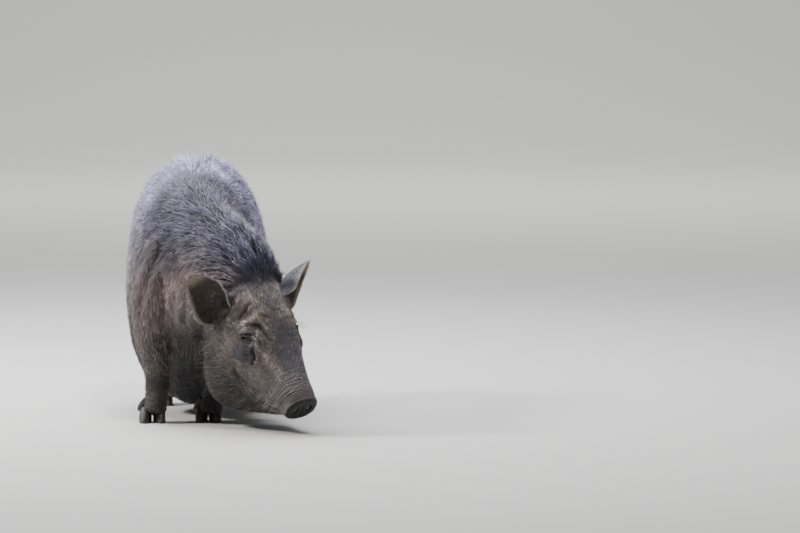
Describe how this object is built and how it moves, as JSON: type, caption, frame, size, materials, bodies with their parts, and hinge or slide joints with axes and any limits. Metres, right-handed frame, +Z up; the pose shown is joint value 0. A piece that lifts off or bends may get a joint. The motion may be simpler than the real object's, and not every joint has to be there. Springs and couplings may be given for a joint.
{
  "type": "pot bellied pig",
  "caption": "Pot bellied pig standing with its head down to graze: sagging belly, bristly back, upright cupped ears, flat snout disc, cloven feet and a thin tail.",
  "frame": {"origin": "on the floor under the middle of the whole pig", "axes": "+Z up, +Y from the snout back along the body to the tail, +X towards the pig's left"},
  "size_m": [0.339, 0.8332, 0.4623],
  "materials": {
    "hide": "rough, creased skin with short bristles",
    "snout": "bare, slightly damp skin",
    "horn": "dull worn claw horn",
    "eye": "wet and glossy"
  },
  "bodies": {
    "root": {"head": "hide", "neck": "hide", "torso": "hide", "tail": "hide", "ear_right": "hide", "ear_left": "hide", "foreleg_right": "hide", "foreleg_left": "hide", "hindleg_right": "hide", "hindleg_left": "hide", "snout": "snout", "eye_right": "eye", "eye_left": "eye", "claw_foreleg_right_right": "horn", "claw_foreleg_right_left": "horn", "claw_foreleg_left_right": "horn", "claw_foreleg_left_left": "horn", "claw_hindleg_right_right": "horn", "claw_hindleg_right_left": "horn", "claw_hindleg_left_right": "horn", "claw_hindleg_left_left": "horn"}
  },
  "joints": []
}
